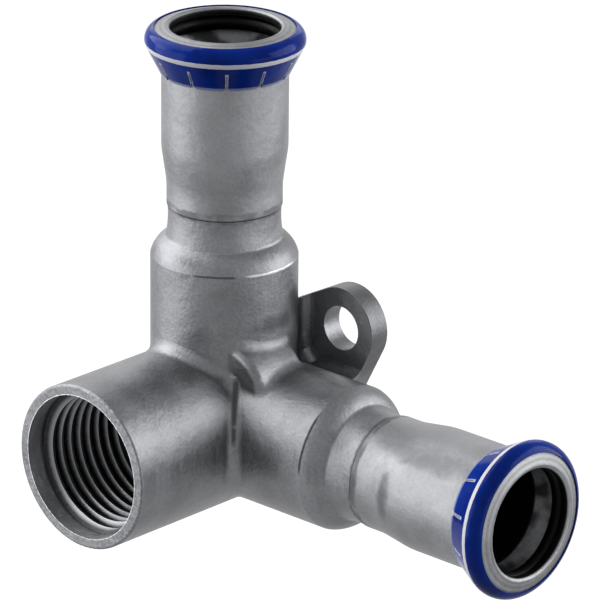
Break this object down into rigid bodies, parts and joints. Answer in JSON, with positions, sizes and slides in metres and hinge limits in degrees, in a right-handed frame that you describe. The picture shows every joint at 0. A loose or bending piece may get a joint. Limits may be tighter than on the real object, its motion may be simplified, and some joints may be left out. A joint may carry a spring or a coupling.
{
  "type": "press elbow",
  "caption": "Stainless wall-plate press elbow: a threaded port towards the room and press sockets at right angles in the wall's plane, each with a sealing ring and a blue film.",
  "frame": {"origin": "centre of the circle of the two fixing holes, on the wall face, in line with the threaded port", "axes": "+Y into the wall, -Y out of the threaded port, +Z out of the upper press socket, +X out of the side press socket"},
  "size_m": [0.0782, 0.0411, 0.0782],
  "materials": {
    "cast_steel": "bead blasted satin",
    "drawn_steel": "satin",
    "seal_rubber": "smooth matte",
    "blue_film": "glossy film with a silver line"
  },
  "bodies": {
    "root": {"cast_body": "cast_steel", "press_socket_top": "drawn_steel", "press_socket_side": "drawn_steel", "seal_ring_top": "seal_rubber", "seal_ring_side": "seal_rubber", "indicator_ring_top": "blue_film", "indicator_ring_side": "blue_film"}
  },
  "joints": []
}
